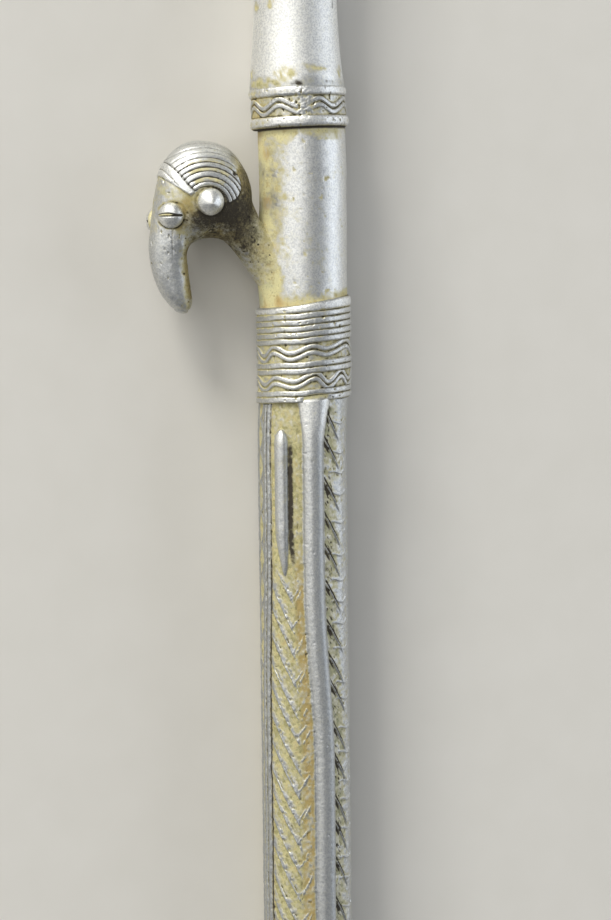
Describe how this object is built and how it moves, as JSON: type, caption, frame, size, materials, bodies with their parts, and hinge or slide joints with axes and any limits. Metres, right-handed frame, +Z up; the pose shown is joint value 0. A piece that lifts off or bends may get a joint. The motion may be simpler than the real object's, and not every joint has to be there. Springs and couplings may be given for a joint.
{
  "type": "ceremonial staff",
  "caption": "Cast aluminium ceremonial staff with a bird's head on one side, banded collars, long ridges and a latticed shaft, lying down.",
  "frame": {"origin": "middle of the lying staff's box, at the surface that it rests on", "axes": "+X along the staff towards its foot, -Y the side that the bird's head reaches to, +Z up"},
  "size_m": [0.8996, 0.066, 0.0311],
  "materials": {
    "cast_aluminium": "handled bright on the high parts, with ochre earth in the hollows"
  },
  "bodies": {
    "root": {"staff": "cast_aluminium"}
  },
  "joints": []
}
